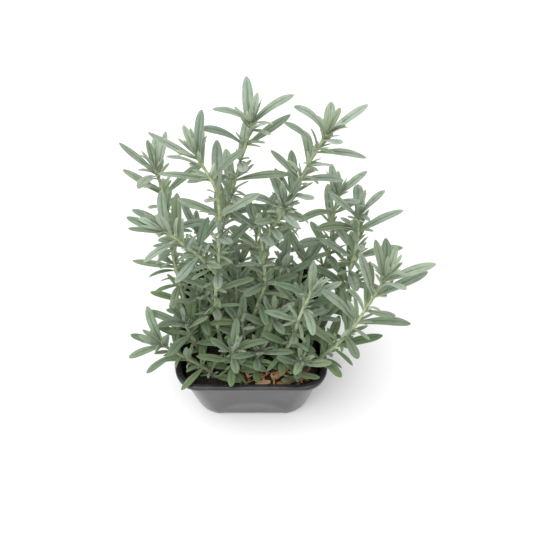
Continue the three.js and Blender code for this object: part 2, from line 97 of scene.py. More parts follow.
# The plants' table, in the part's own order: name, root, and for each stem the points it passes,
# whether it is a branch, its pairs of leaves, where they start, their turn and a grown leaf's length
PLANT = [
    ("stem_back_tall", (-16, 10), [
        ([(-16, 11, 90), (-15, 14, 130), (-10, 16, 148), (-5, 18, 170), (2, 21, 198)],
         False, 9, 0.36, 95, 28)]),
    ("stem_left_tall", (-16, -18), [
        ([(-20, -13, 76), (-19, -9, 101), (-16, -5, 129), (-15, 2, 167), (-24, 9, 188)],
         False, 10, 0.24, 5, 27),
        ([(-18, -7, 114), (-26, -8, 131), (-33, -8, 141), (-42, -6, 150)], True, 5, 0.26, 150, 26)]),
    ("stem_far_left", (-33, -3), [
        ([(-38, 0, 66), (-43, 8, 106), (-43, 14, 130), (-45, 20, 150), (-48, 25, 162)],
         False, 8, 0.3, 0, 26)]),
    ("stem_centre", (-2, -8), [
        ([(3, -6, 76), (8, -3, 97), (7, 2, 123), (5, 5, 140)], False, 6, 0.32, 15, 24),
        ([(8, 1, 118), (12, 6, 140), (21, 11, 156), (28, 16, 170), (38, 22, 190)],
         True, 7, 0.26, 90, 27),
        ([(11, 5, 136), (15, 4, 147), (18, 4, 157)], True, 2, 0.5, 20, 23)]),
    ("stem_back_right", (34, 20), [
        ([(42, 22, 71), (46, 24, 96), (46, 26, 115), (48, 30, 138)], False, 7, 0.3, 110, 24)]),
    ("stem_right", (33, 1), [
        ([(42, 3, 62), (55, 6, 80), (57, 8, 101), (59, 12, 121), (58, 15, 138)],
         False, 8, 0.28, 0, 29)]),
    ("stem_far_right", (33, -26), [
        ([(40, -28, 57), (47, -28, 70), (53, -27, 82), (59, -25, 95), (65, -21, 109),
          (71, -17, 124)], False, 8, 0.16, 0, 31)]),
    ("stem_front_right", (14, -24), [
        ([(23, -24, 70), (27, -22, 93), (30, -20, 103), (33, -17, 113)], False, 6, 0.26, 90, 22)]),
    ("stem_low_left", (-23, -32), [
        ([(-26, -31, 49), (-33, -29, 54), (-43, -26, 60), (-52, -24, 68)], False, 5, 0.2, 165, 25)]),
    ("shoot_left_low", (-31, -17), [([(-34, -17, 58), (-38, -15, 76)], False, 4, 0.34, 70, 27)]),
    ("shoot_left", (-26, -6), [([(-29, -5, 62), (-30, -2, 84)], False, 5, 0.32, 20, 23)]),
    ("shoot_front_left", (-11, -28), [([(-11, -30, 56), (-10, -29, 70)], False, 5, 0.32, 0, 22)]),
    ("shoot_front", (2, -26), [([(3, -27, 54), (5, -27, 66)], False, 4, 0.34, 80, 22)]),
    ("shoot_front_right", (26, -34), [([(27, -34, 54), (29, -33, 64)], False, 4, 0.34, 70, 20)]),
    ("shoot_middle_left", (-9, 0), [([(-9, 1, 66), (-8, 3, 92)], False, 4, 0.4, 30, 23)]),
    ("shoot_middle", (9, -16), [([(11, -15, 60), (13, -13, 82)], False, 4, 0.36, 10, 22)]),
    ("shoot_middle_right", (24, -10), [([(26, -9, 64), (29, -7, 88)], False, 4, 0.28, 60, 22)]),
    ("shoot_inner_left", (-4, -18), [([(-4, -18, 60), (-5, -16, 78)], False, 4, 0.36, 40, 21)]),
    ("shoot_inner_right", (18, -3), [([(18, -2, 62), (20, 0, 84)], False, 3, 0.4, 80, 21)]),
    ("shoot_inner_back", (-8, 14), [([(-7, 15, 64), (-6, 18, 90)], False, 2, 0.5, 60, 21)]),
    ("shoot_right", (36, -12), [([(37, -12, 60), (41, -11, 78)], False, 3, 0.34, 30, 22)]),
    ("shoot_centre_back", (14, 4), [([(17, 6, 70), (19, 9, 99)], False, 3, 0.45, 0, 22)]),
    ("shoot_right_back", (26, 10), [([(28, 13, 68), (31, 16, 95)], False, 3, 0.4, 50, 22)]),
    ("shoot_back", (2, 22), [([(3, 25, 76), (3, 29, 109)], False, 4, 0.4, 10, 22)]),
    ("shoot_back_right", (18, 28), [([(19, 31, 68), (21, 34, 92)], False, 2, 0.5, 70, 22)]),
    ("shoot_back_left", (-25, 20), [([(-29, 23, 78), (-31, 27, 109)], False, 3, 0.36, 45, 23)]),
]

# Bark chips: middle, length, width, thickness, compass turn and tilt in degrees
CHIPS = [
    ((-4.5, -34.6), (10, 4.2, 2.2), 16, 6),
    ((7, -36.6), (12.5, 3.8, 2), 6, -6),
    ((5.4, -31.6), (10.5, 3.6, 2.2), -16, 8),
    ((15.6, -32), (10, 3.8, 2), 30, 6),
    ((21.4, -24.6), (9, 3.6, 2), 78, -8),
    ((18.6, -37), (9, 3.4, 2.2), -5, 5),
    ((31.2, -32.2), (9, 4, 2), 58, -6),
]


def dice(seed):
    """Repeatable random numbers from 0 to 1, the same as in the part's source."""
    state = seed

    def roll():
        nonlocal state
        state = (state * 16807) % 2147483647
        return state / 2147483647
    return roll


class Curve:
    """Smooth line through points, the same as the source's centre lines."""
    DIVISIONS = 200
    STEP = 0.0001

    def __init__(self, points):
        self.points = np.array(points, float)
        self.padded = np.vstack([
            2 * self.points[0] - self.points[1], self.points, 2 * self.points[-1] - self.points[-2]])
        samples = self.at(np.linspace(0, 1, self.DIVISIONS + 1))
        steps = np.linalg.norm(np.diff(samples, axis=0), axis=1)
        self.lengths = np.concatenate([[0], np.cumsum(steps)])
        self.whole = self.lengths[-1]

    def at(self, t):
        spans = len(self.points) - 1
        place = np.atleast_1d(t) * spans
        i = np.minimum(place.astype(int), spans - 1)
        w = (place - i)[:, None]
        p0, p1, p2, p3 = (self.padded[i + k] for k in range(4))
        t0, t1 = 0.5 * (p2 - p0), 0.5 * (p3 - p1)
        return (p1 + t0 * w + (-3 * p1 + 3 * p2 - 2 * t0 - t1) * w ** 2
                + (2 * p1 - 2 * p2 + t0 + t1) * w ** 3)

    def share_at(self, height):
        return float(np.interp(height, self.lengths, np.linspace(0, 1, self.DIVISIONS + 1)))

    def cross(self, t):
        """Directions along the curve at t, to its right and to its back."""
        ends = self.at([max(t - self.STEP, 0), min(t + self.STEP, 1)])
        along = unit(ends[1] - ends[0])
        right = unit(np.cross((0, 1, 0), along))
        return along, right, np.cross(along, right)


def unit(vector):
    return vector / np.linalg.norm(vector)


def centre_line(path, branch, root):
    rooted = [] if branch else [(*root, ROOT_DEPTH), (*root, SOIL_TOP + 2)]
    return Curve([*rooted, *path])


def stem_radius(stem, t):
    base = BRANCH_BASE_RADIUS if stem[1] else STEM_BASE_RADIUS
    return base + (STEM_TIP_RADIUS - base) * t


def new_leaf(curve, height, young, compass, length, lift, bend, twist):
    t = curve.share_at(height)
    width = (LEAF_WIDTH_LEAST + LEAF_WIDTH_SHARE * length) * (YOUNG_WIDTH_SHARE if young else 1)
    return {"t": t, "height": height, "young": young, "compass": compass, "length": length,
            "lift": lift, "bend": bend, "twist": twist, "width": width, "base": curve.at(t)[0]}


def leaves_of(stem, curve, roll):
    """Leaves of one stem, with every number drawn in the same order as in the part's source."""
    _path, _branch, pairs, start, first_turn, full = stem
    leaves = []

    def spread():
        return 2 * roll() - 1

    def add(height, compass, length, lift, bend, young):
        compass += 12 * spread()
        length *= 1 + 0.12 * spread()
        lift += 9 * spread()
        bend += 18 * spread()
        bend += 45 if roll() < 0.15 else 0
        leaves.append(new_leaf(curve, height, young, compass, length, lift, bend, 14 * spread()))

    for i in range(pairs):
        share = i / pairs
        height = curve.whole * (1 - (1 - start) * (1 - share) ** 1.3)
        size = full * (0.78 + 0.5 * share - 0.3 * share * share)
        for side in (0, 180):
            compass = first_turn + 90 * i + side
            add(height, compass, size, 60 - 22 * share, 24 - 8 * share, False)
            axil = roll()
            if axil < 0.2:
                add(height + 1.5, compass + 90 * (axil - 0.12), size * 0.5, 26, 12, True)
    last = first_turn + 90 * pairs
    for side in (0, 180):
        add(curve.whole - 2.4, last + side, full * 0.9, 27, 12, False)
        add(curve.whole - 0.9, last + 90 + side, full * 0.6, 14, 8, True)
    return leaves


def leaf_at(leaf, s):
    """Point, side and face directions at share s of a leaf, s being one number or several."""
    s = np.atleast_1d(s)[:, None]
    first, curl = math.radians(leaf["lift"]), math.radians(leaf["bend"]) + 1e-4
    now = first + curl * s
    roll = np.radians(leaf["sky"] + leaf["twist"] * s)
    along, out, across, length = (leaf[k] for k in ("along", "out", "across", "length"))
    at = (leaf["start"] + along * length * (np.sin(now) - math.sin(first)) / curl
          + out * length * (math.cos(first) - np.cos(now)) / curl)
    up = along * np.sin(now) - out * np.cos(now)
    return at, across * np.cos(roll) + up * np.sin(roll), up * np.cos(roll) - across * np.sin(roll)


def place_leaf(leaf, stem, cross, turn=0, lean=0, scale=1):
    """A leaf set on its stem, turned by its compass, with its face turned towards the sky."""
    along, right, back = cross
    angle = math.radians(leaf["compass"] + turn)
    out = right * math.cos(angle) + back * math.sin(angle)
    lift = max(leaf["lift"] + lean, 4)
    across = np.cross(along, out)
    now = math.radians(lift + leaf["bend"] / 2)
    up = along[2] * math.sin(now) - out[2] * math.cos(now)
    sky = SKY_TURN_SHARE * min(max(math.degrees(math.atan2(-across[2], up)), -90), 90)
    start = leaf["base"] + out * LEAF_ROOT_SHARE * stem_radius(stem, leaf["t"])
    return {**leaf, "along": along, "out": out, "across": across, "sky": sky, "start": start,
            "lift": lift, "length": leaf["length"] * scale}


def ways_for(leaf, stem, cross):
    """Every way in which the part's source may have placed a leaf."""
    for scale in (1, 0.8, 0.62):
        for lean in (0, -14, 14, -26):
            for turn in (0, 16, -16, 32, -32):
                yield place_leaf(leaf, stem, cross, turn, lean, scale)


def corners_of(node):
    """Search tree over the vertices of a CAD node, in millimetres."""
    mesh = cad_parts[node].data
    points = np.empty(len(mesh.vertices) * 3)
    mesh.vertices.foreach_get("co", points)
    points = points.reshape(-1, 3) / MM
    tree = kdtree.KDTree(len(points))
    for i, point in enumerate(points):
        tree.insert(point, i)
    tree.balance()
    return tree


def faces_of(node):
    """Search tree over the faces of a CAD node, in millimetres."""
    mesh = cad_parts[node].data
    points = [vertex.co / MM for vertex in mesh.vertices]
    return BVHTree.FromPolygons(points, [list(face.vertices) for face in mesh.polygons])


def placed_way(leaf, stem, cross, tree):
    """The way that the CAD node holds: the one whose tip and last edges are among its vertices."""
    best, most = None, 0
    share, width = YOUNG_LEAF_END if leaf["young"] else GROWN_LEAF_END
    half = leaf["width"] * width / 2
    for way in ways_for(leaf, stem, cross):
        at, side, _face = leaf_at(way, [share, 1])
        marks = (at[1], at[0] + side[0] * half, at[0] - side[0] * half)
        found = sum(tree.find(mark)[2] < 0.02 for mark in marks)
        if found > most:
            best, most = way, found
        if most == 3:
            break
    return best


# Mesh building


class Builder:
    """Collects quads and triangles with values for each point, and makes one mesh of them."""

    def __init__(self, names):
        self.names = names
        self.points, self.faces, self.kinds = [], [], []
        self.values = {name: [] for name in names}
        self.count = 0

    def add(self, points, faces, kind=0, **values):
        points = np.asarray(points, float).reshape(-1, 3)
        self.points.append(points)
        self.faces += [[i + self.count for i in face] for face in faces]
        self.kinds += [kind] * len(faces)
        for name in self.names:
            given = np.asarray(values.get(name, 0.0), float)
            self.values[name].append(np.broadcast_to(given, (len(points),)).copy())
        self.count += len(points)

    def make(self, name, materials):
        mesh = bpy.data.meshes.new(name)
        mesh.from_pydata((np.vstack(self.points) * MM).tolist(), [], self.faces)
        for value_name in self.names:
            layer = mesh.attributes.new(value_name, "FLOAT", "POINT")
            layer.data.foreach_set("value", np.concatenate(self.values[value_name]).astype(np.float32))
        for material in materials:
            mesh.materials.append(material)
        mesh.polygons.foreach_set("material_index", self.kinds)
        mesh.polygons.foreach_set("use_smooth", [True] * len(self.faces))
        mesh.update()
        piece = bpy.data.objects.new(name, mesh)
        bpy.context.scene.collection.objects.link(piece)
        return piece


def tube_faces(rings, around, cap_start=True, cap_end=True):
    """Faces of a skin over rings of equal count, with flat ends."""
    faces = []
    for r in range(rings - 1):
        for j in range(around):
            a, b = r * around + j, r * around + (j + 1) % around
            faces.append((a, b, b + around, a + around))
    if cap_start:
        faces.append(tuple(reversed(range(around))))
    if cap_end:
        faces.append(tuple(range((rings - 1) * around, rings * around)))
    return faces


# Foliage

# Rings along a leaf and points across its top, for leaves over and under the tiny length
LEAF_DETAIL = (18, 9)
TINY_DETAIL = (9, 5)
TINY_LENGTH = 15
LEAF_VALUES = ("across", "along", "tint", "age_and_shade", "under", "young")
GROOVE_DEPTH = 0.42
GROOVE_HALF = 0.18
RIB_DEPTH = 0.34

# Young leaves that only the scene has: their chances, widths, places and number at the tip
TINY_WIDTH_LEAST = 0.7
TINY_WIDTH_SHARE = 0.12
AXIL_CHANCE = 0.62
LOW_CHANCE = 0.72
LOW_SHARE = 0.75
TIP_LEAVES = 8

# Shade among crowded leaves: how near, how far above and how many leaves count, and its strength
CROWD_RADIUS = 13
CROWD_RISE = 2
CROWD_COUNT = 16
CROWD_LEAST_LENGTH = 9
CROWD_SHADE = 0.22

# Seeds of the dice for the young leaves and for the looks of each piece
YOUNG_SEED = 500
LOOKS_SEED = 900


def width_share(s, young):
    """Outline of a leaf: narrow root, widest past the middle, blunt tip."""
    root, widest = (0.3, 0.6) if young else (0.2, 0.62)
    rise = root + (1 - root) * np.sin(0.5 * np.pi * np.minimum(s / widest, 1))
    fall = (1 - np.clip((s - widest) / (1 - widest), 0, 1) ** 2.4) ** 0.62
    return np.where(s < widest, rise, fall)


def fine_leaf(leaf, roll):
    """Points, faces and values of one felted leaf with rolled edges, a groove above and a rib below."""
    rings, top_points = TINY_DETAIL if leaf["length"] < TINY_LENGTH else LEAF_DETAIL
    s = 1 - (1 - np.linspace(0, 1, rings)) ** 1.35
    at, side, face = leaf_at(leaf, s)
    wave_length, wave_start = 5 + 4 * roll(), 6.28 * roll()
    half = leaf["width"] / 2 * width_share(s, leaf["young"])
    half = np.maximum(half * (1 + 0.03 * np.sin(wave_length * s + wave_start)), 0.02)[:, None]
    x = np.sin(np.linspace(-0.5 * np.pi, 0.5 * np.pi, top_points))
    size = np.minimum(half / 2.2, 1)
    fade = (1 - s ** 4)[:, None]
    ripple = 0.08 * np.sin(9 * s + wave_start)[:, None] * x ** 2 * np.sign(x)
    groove = np.exp(-(x / GROOVE_HALF) ** 2)
    top = 0.16 - 0.66 * np.abs(x) ** 2.8 - GROOVE_DEPTH * fade * groove + ripple
    fold = (0.45 if leaf["young"] else 0.2) * half * np.abs(x) * (1 - 0.5 * s[:, None])
    depth = 0.08 + 0.36 * (1 - x ** 4) + RIB_DEPTH * fade * groove
    low = (top - depth) * size
    inner = slice(top_points - 2, 0, -1)
    ring_x = np.concatenate([x, x[inner]])
    ring_z = np.concatenate([top * size + fold, (low + fold)[:, inner]], axis=1)
    points = at[:, None] + side[:, None] * (half * ring_x)[..., None] + face[:, None] * ring_z[..., None]
    around = len(ring_x)
    under = np.concatenate([np.zeros(top_points), np.ones(around - top_points)])
    values = {
        "across": np.tile(ring_x, rings), "along": np.repeat(s, around), "under": np.tile(under, rings)}
    return points.reshape(-1, 3), tube_faces(rings, around), values


def tiny_leaves(stem, curve, leaves, roll):
    """Youngest leaves, too small for the solid: in the axils, low on the stem and round the tip."""
    tiny = []

    def add(height, compass, length, lift, bend, twist=0):
        leaf = new_leaf(curve, height, True, compass, length, lift, bend, twist)
        tiny.append({**leaf, "width": TINY_WIDTH_LEAST + TINY_WIDTH_SHARE * length, "tiny": True})

    grown = [leaf for leaf in leaves if not leaf["young"]]
    for leaf in grown:
        for side in (-1, 1, -2, 2):
            if roll() < AXIL_CHANCE:
                add(leaf["height"] + 0.5 + 1.6 * roll(), leaf["compass"] + side * (10 + 16 * roll()),
                    leaf["length"] * (0.2 + 0.3 * roll()), 22 + 30 * roll(), 10 + 40 * roll(),
                    30 * (2 * roll() - 1))
    height = 5 if stem[1] else SOIL_TOP - ROOT_DEPTH + 5
    while height < LOW_SHARE * curve.whole:
        for side in (0, 90, 180, 270):
            if roll() < LOW_CHANCE:
                add(height, stem[4] + side + 80 * roll(), 5 + 12 * roll(), 20 + 50 * roll(),
                    10 + 70 * roll(), 50 * (2 * roll() - 1))
        height += 5 + 3 * roll()
    for i in range(TIP_LEAVES):
        add(curve.whole - 0.4, stem[4] + 45 + 90 * i + 30 * roll(), stem[5] * (0.5 - 0.045 * i),
            18 - 2 * i + 5 * roll(), 4 + 8 * roll(), 12 * roll())
    return tiny


def fine_stem(stem, curve, leaf_heights):
    """Points, faces and values of one downy square stem, swollen where leaves grow."""
    around = 12
    rings = max(int(curve.whole / 1.4), 8)
    corner = math.radians(stem[4] + 45)
    heights = np.linspace(0, curve.whole, rings)
    angles = corner + np.radians(360 * np.arange(around) / around)
    square = 0.88 + 0.1 * np.cos(4 * (angles - corner))
    points = []
    for height in heights:
        t = curve.share_at(height)
        _along, right, back = curve.cross(t)
        swell = min(sum(math.exp(-((height - h) / 1.1) ** 2) for h in leaf_heights), 1)
        radius = stem_radius(stem, t) * (0.8 + 0.16 * swell + 0.03 * math.sin(0.9 * height + stem[4]))
        if height == heights[-1]:
            radius *= 0.6
        reach = radius * square
        points.append(curve.at(t) + right * (reach * np.cos(angles))[:, None]
                      + back * (reach * np.sin(angles))[:, None])
    return np.vstack(points), tube_faces(rings, around), {"along": np.repeat(heights / 200, around)}


def grow_stem(node, tree, stem, root, seed, roll):
    """Centre line and leaves of one stem: those of the CAD node first, then the tiny ones."""
    curve = centre_line(stem[0], stem[1], root)
    leaves = leaves_of(stem, curve, dice(seed))
    ways = [placed_way(leaf, stem, curve.cross(leaf["t"]), tree) for leaf in leaves]
    print(node, "leaves", len(ways), "of these left out", ways.count(None))
    grown = [way for way in ways if way]
    tiny = [place_leaf(leaf, stem, curve.cross(leaf["t"]))
            for leaf in tiny_leaves(stem, curve, grown, roll)]
    return stem, curve, grown + tiny


def crowding(middle, middles):
    """How deep a leaf sits under others, from 0 in the open to 1."""
    away = middles - middle
    above = (np.hypot(away[:, 0], away[:, 1]) < CROWD_RADIUS) & (away[:, 2] > CROWD_RISE)
    return 1 - math.exp(-above.sum() / CROWD_COUNT)


def crosses(points, faces, trees):
    """Whether a tiny leaf runs through the pot, a chip or another plant's leaves."""
    leaf = BVHTree.FromPolygons(points.tolist(), faces)
    return any(leaf.overlap(tree) for tree in trees)


def make_foliage(leaf_material, stem_material):
    """One piece for each leafy stem, with every leaf where the CAD node has it."""
    highest = cad_bounds[1][2] / MM

    def age_of(height):
        return np.clip((height - SOIL_TOP) / (highest - SOIL_TOP), 0, 1)

    plants = []
    for index, (name, root, stems) in enumerate(PLANT):
        tree, looks = corners_of(name), dice(YOUNG_SEED + index)
        plants.append([grow_stem(name, tree, stem, root, 1000 * index + 100 * place + 77, looks)
                       for place, stem in enumerate(stems)])
    middles = np.array([leaf_at(way, 0.5)[0][0] for parts in plants for part in parts for way in part[2]
                        if way["length"] > CROWD_LEAST_LENGTH])
    others = {node: faces_of(node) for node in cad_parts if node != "soil"}
    dropped = 0
    for index, parts in enumerate(plants):
        builder, looks = Builder(LEAF_VALUES), dice(LOOKS_SEED + index)
        name = PLANT[index][0]
        del others[name]
        for stem, curve, ways in parts:
            nodes = [way["height"] for way in ways if not way["young"]]
            points, faces, values = fine_stem(stem, curve, nodes)
            builder.add(points, faces, kind=1, age_and_shade=age_of(points[:, 2]), tint=looks(), **values)
            for way in ways:
                points, faces, values = fine_leaf(way, looks)
                # A leaf's age: its height, which greens and darkens it (partly the older leaves' own
                # colour, partly painted shade), lowered further under crowded leaves as painted shade
                age_and_shade = 0.25 * way["height"] / curve.whole + 0.75 * age_of(way["start"][2])
                age_and_shade *= 1 - CROWD_SHADE * crowding(leaf_at(way, 0.5)[0][0], middles)
                young, tint = np.clip(1.25 - way["length"] / 16, 0, 1), looks()
                if way.get("tiny") and crosses(points, faces, others.values()):
                    dropped += 1
                    continue
                builder.add(points, faces, tint=tint, age_and_shade=age_and_shade, young=young, **values)
        others[name] = BVHTree.FromPolygons(np.vstack(builder.points).tolist(), builder.faces)
        dress(builder.make(name + "_leaves", [leaf_material, stem_material]), "foliage", name)
    print("young leaves left out, as they would cross another piece:", dropped)


def dress(piece, slot, *nodes):
    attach(piece, "root")
    if nodes:
        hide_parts(*nodes)


# Pot


def wall_half(z):
    return BASE_HALF + (WALL_TOP_HALF - BASE_HALF) * z / (POT_HEIGHT - LIP_DEPTH)


def wall_corner(z):
    return BASE_CORNER + (RIM_CORNER - 2 - BASE_CORNER) * z / (POT_HEIGHT - LIP_DEPTH)


def round_square(half, corner, z, steps=14, flats=8):
    """Square outline with round corners, its flats divided too."""
    outline = []
    for quarter in range(4):
        turn = math.radians(90 * quarter)
        cos, sin = math.cos(turn), math.sin(turn)
        middle = half - corner
        for step in range(steps + 1):
            angle = math.radians(90 * step / steps)
            x, y = middle + corner * math.cos(angle), middle + corner * math.sin(angle)
            outline.append((x * cos - y * sin, x * sin + y * cos, z))
        for step in range(1, flats):
            x, y = middle - 2 * middle * step / flats, half
            outline.append((x * cos - y * sin, x * sin + y * cos, z))
    return outline


def arc(x, y, radius, start, end, steps):
    """Points of an arc in a profile, angles in degrees."""
    angles = np.radians(np.linspace(start, end, steps))
    return [(x + radius * math.cos(a), y + radius * math.sin(a)) for a in angles]


def cutter(points, faces):
    mesh = bpy.data.meshes.new("cutter")
    mesh.from_pydata((np.array(points) * MM).tolist(), [], faces)
    made = bpy.data.objects.new("cutter", mesh)
    bpy.context.scene.collection.objects.link(made)
    return made


def cut(piece, tool):
    """Takes the tool's solid out of the piece, and the tool out of the scene."""
    modifier = piece.modifiers.new("cut", "BOOLEAN")
    modifier.operation, modifier.solver, modifier.object = "DIFFERENCE", "EXACT", tool
    evaluated = piece.evaluated_get(bpy.context.evaluated_depsgraph_get())
    mesh = bpy.data.meshes.new_from_object(evaluated)
    piece.modifiers.clear()
    piece.data = mesh
    bpy.data.objects.remove(tool)


def make_pot(material):
    """Moulded pot with a rolled lip, arched base and drain holes."""
    lip_bottom = POT_HEIGHT - LIP_DEPTH
    inside = RIM_HALF - LIP_WIDTH
    profile = arc(BASE_HALF - 1.1, 1.1, 1.1, -80, -8, 5)
    for z in np.linspace(3, lip_bottom - 0.7, 12):
        profile.append((wall_half(z), z))
    profile += [(WALL_TOP_HALF + 0.12, lip_bottom - 0.15), (WALL_TOP_HALF + 0.5, lip_bottom)]
    profile += arc(RIM_HALF - 0.7, lip_bottom + 0.7, 0.7, -80, 0, 5)
    profile += arc(RIM_HALF - 1.2, POT_HEIGHT - 1.2, 1.2, 0, 85, 7)
    profile += arc(inside + 1.1, POT_HEIGHT - 1.1, 1.1, 95, 175, 6)
    profile += [(inside, lip_bottom + 0.4), (WALL_TOP_HALF - WALL, lip_bottom - 0.5)]
    for z in np.linspace(lip_bottom - 3, FLOOR_TOP + 1.4, 6):
        profile.append((wall_half(z) - WALL, z))
    profile.append((wall_half(FLOOR_TOP) - WALL - 1, FLOOR_TOP))
    rings = []
    for half, z in profile:
        low = wall_corner(min(z, lip_bottom))
        rings.append(round_square(half, max(low + (half - wall_half(min(z, lip_bottom))) * 0.6, 6), z))
    around = len(rings[0])
    builder = Builder(())
    builder.add(np.array(rings).reshape(-1, 3), tube_faces(len(rings), around))
    pot = builder.make("pot_moulded", [material])
    for long_x, long_y in ((60, ARCH_HALF - 4), (ARCH_HALF - 4, 60)):
        cut(pot, arch_tool(long_x, long_y))
    for x, y in ((1, 0), (0, 1), (-1, 0), (0, -1)):
        cut(pot, round_tool(x * DRAIN_FROM_MIDDLE, y * DRAIN_FROM_MIDDLE,
                            -1, FLOOR_TOP + 1, DRAIN_RADIUS))
    pot.data.materials.clear()
    pot.data.materials.append(material)
    shade_by_angle(pot)
    dress(pot, "pot_plastic", "pot")


def round_tool(x, y, low, high, radius, sides=32):
    points = [(x + radius * math.cos(a), y + radius * math.sin(a), z)
              for z in (low, high) for a in np.linspace(0, 2 * math.pi, sides, endpoint=False)]
    return cutter(points, tube_faces(2, sides))


def arch_tool(long_x, long_y):
    """Bar under the base, rounded where it meets the wall, with room left for the middle pad."""
    levels = [(6, -1)] + [(6 - 7 * (1 - math.cos(a)) * 0.8, ARCH_HEIGHT * math.sin(a))
                          for a in np.linspace(0.15, 0.5 * math.pi, 6)]
    points = []
    for grow, z in levels:
        gx, gy = (0, grow) if long_x > long_y else (grow, 0)
        points += [((long_x + gx) * sx, (long_y + gy) * sy, z)
                   for sx, sy in ((1, 1), (-1, 1), (-1, -1), (1, -1))]
    bar = cutter(points, tube_faces(len(levels), 4))
    cut(bar, round_tool(0, 0, -2, ARCH_HEIGHT + 1, PAD_RADIUS))
    return bar


def shade_by_angle(piece, degrees=38):
    """Smooth shading with sharp edges where faces turn by more than the angle."""
    mesh = piece.data
    mesh.polygons.foreach_set("use_smooth", [True] * len(mesh.polygons))
    work = bmesh.new()
    work.from_mesh(mesh)
    for edge in work.edges:
        if len(edge.link_faces) == 2:
            edge.smooth = edge.calc_face_angle(0) < math.radians(degrees)
    work.to_mesh(mesh)
    work.free()


# Soil


def soil_height(x, y):
    return (SOIL_TOP + 0.7 * np.sin(0.31 * x + 1) * np.cos(0.27 * y)
            + 0.5 * np.sin(0.83 * x - 0.59 * y))


def rough(x, y, size, octaves=3):
    return noise.fractal(Vector((x / size, y / size, 3.1)), 0.8, 2.1, octaves)


def make_soil(material):
    """Crumbly soil bed: a body with a rough top, and loose crumbs pressed into it."""
    builder = Builder(("tint",))
    clear = WALL + 0.35
    bottom = FLOOR_TOP + 0.35
    rings = []
    for inset, z in ((1, bottom), (0, bottom + 1), (0, 24), (0, 40.2)):
        outline = round_square(wall_half(z) - clear - inset, wall_corner(z), z, 9, 26)
        rings.append([np.array(p) for p in outline])
    for share in np.linspace(0.985, 0.05, 44):
        ring = []
        for x, y, _z in round_square(40.4 * share, 14.5 * share, 0, 9, 26):
            crumb = 0.9 * rough(x, y, 2.6) + 0.5 * rough(x + 40, y, 0.9, 2)
            edge = -1.2 * max(share - 0.93, 0) / 0.055
            ring.append(np.array((x, y, soil_height(x, y) + np.clip(crumb, -1, 1.1) + edge)))
        rings.append(ring)
    around = len(rings[0])
    builder.add(np.array(rings).reshape(-1, 3), tube_faces(len(rings), around), tint=0.3)
    roll = dice(4242)
    base, base_faces = ball(1)
    for _ in range(900):
        x, y = (2 * roll() - 1) * 38.5, (2 * roll() - 1) * 38.5
        size = 0.35 + 1.0 * roll() ** 2.5
        tint, shift = roll(), 50 * roll()
        if abs(x) > 31 and abs(y) > 31 and math.hypot(abs(x) - 26, abs(y) - 26) > 13:
            continue
        bumpy = [p * (1 + 0.35 * noise.noise(Vector(p * 1.3 + shift))) for p in base]
        stretch = np.array((1 + 0.5 * tint, 1, 0.75)) * size
        height = soil_height(x, y) + 0.9 * rough(x, y, 2.6) + 0.2 * size
        builder.add(np.array(bumpy) * stretch + (x, y, height), base_faces, tint=tint)
    soil = builder.make("soil_bed", [material])
    dress(soil, "soil", "soil")


def ball(level):
    """Points and faces of a small faceted ball."""
    work = bmesh.new()
    bmesh.ops.create_icosphere(work, subdivisions=level, radius=1)
    points = [np.array(v.co) for v in work.verts]
    faces = [tuple(v.index for v in f.verts) for f in work.faces]
    work.free()
    return points, faces


# Bark

CHIP_POINTS = 60
CHIP_TINTS = (0.1, 0.95, 0.55, 0.8, 0.5, 0.7, 0.6)


def torn_chip(at, size, turn, tilt, seed):
    """Points, faces and values of a torn chip, on the same six corners as its solid."""
    roll = dice(seed)
    reach = np.array([0.72 + 0.36 * roll() for _ in range(12)]).reshape(2, 6)
    angles = np.radians(60 * np.arange(6) + 20)
    corners = np.stack([size[0] / 2 * reach * np.cos(angles),
                        size[1] / 2 * reach * np.sin(angles)], axis=-1)
    turn_by = (Matrix.Rotation(math.radians(turn), 3, "Z")
               @ Matrix.Rotation(math.radians(tilt / 2), 3, "Y")
               @ Matrix.Rotation(math.radians(tilt), 3, "X"))
    place = np.array([*at, soil_height(*at) + size[2] * 0.2])
    caps = np.linspace(0.06, 0.97, 12)
    levels = ([(k, -1.0) for k in caps] + [(1.0, w) for w in (-0.8, -0.4, 0.1, 0.5, 0.85)]
              + [(k, 1.0) for k in caps[::-1]])
    rings, along, across = [], [], []
    for k, w in levels:
        outline = corners[0] + (corners[1] - corners[0]) * (w + 1) / 2
        for step in range(CHIP_POINTS):
            whole, part = divmod(step * 6 / CHIP_POINTS, 1)
            x, y = outline[int(whole)] * (1 - part) + outline[(int(whole) + 1) % 6] * part
            x, y = x * k, y * k
            end = min(abs(2 * x / size[0]), 1) ** 2
            layer = math.floor(2.2 * y + 0.8 * w + seed)
            fray = 1.1 * noise.noise(Vector((seed, layer * 0.73, 0.4 * w))) * end * k
            fibre = noise.noise(Vector((x * 0.16 + seed, y * 1.9, 0.3 * w))) * 0.9
            pit = noise.noise(Vector((x * 0.9, y * 1.6, seed + w))) * 0.35
            z = w * size[2] / 2 * (1 - 0.5 * end) + (fibre + pit) * k ** 0.4
            rings.append(place + np.array(turn_by @ Vector((x + fray, y + 0.25 * pit, z))))
            along.append(x / 5)
            across.append(y / 2 + 0.4 * w)
    return rings, tube_faces(len(levels), CHIP_POINTS), {"along": along, "across": across}


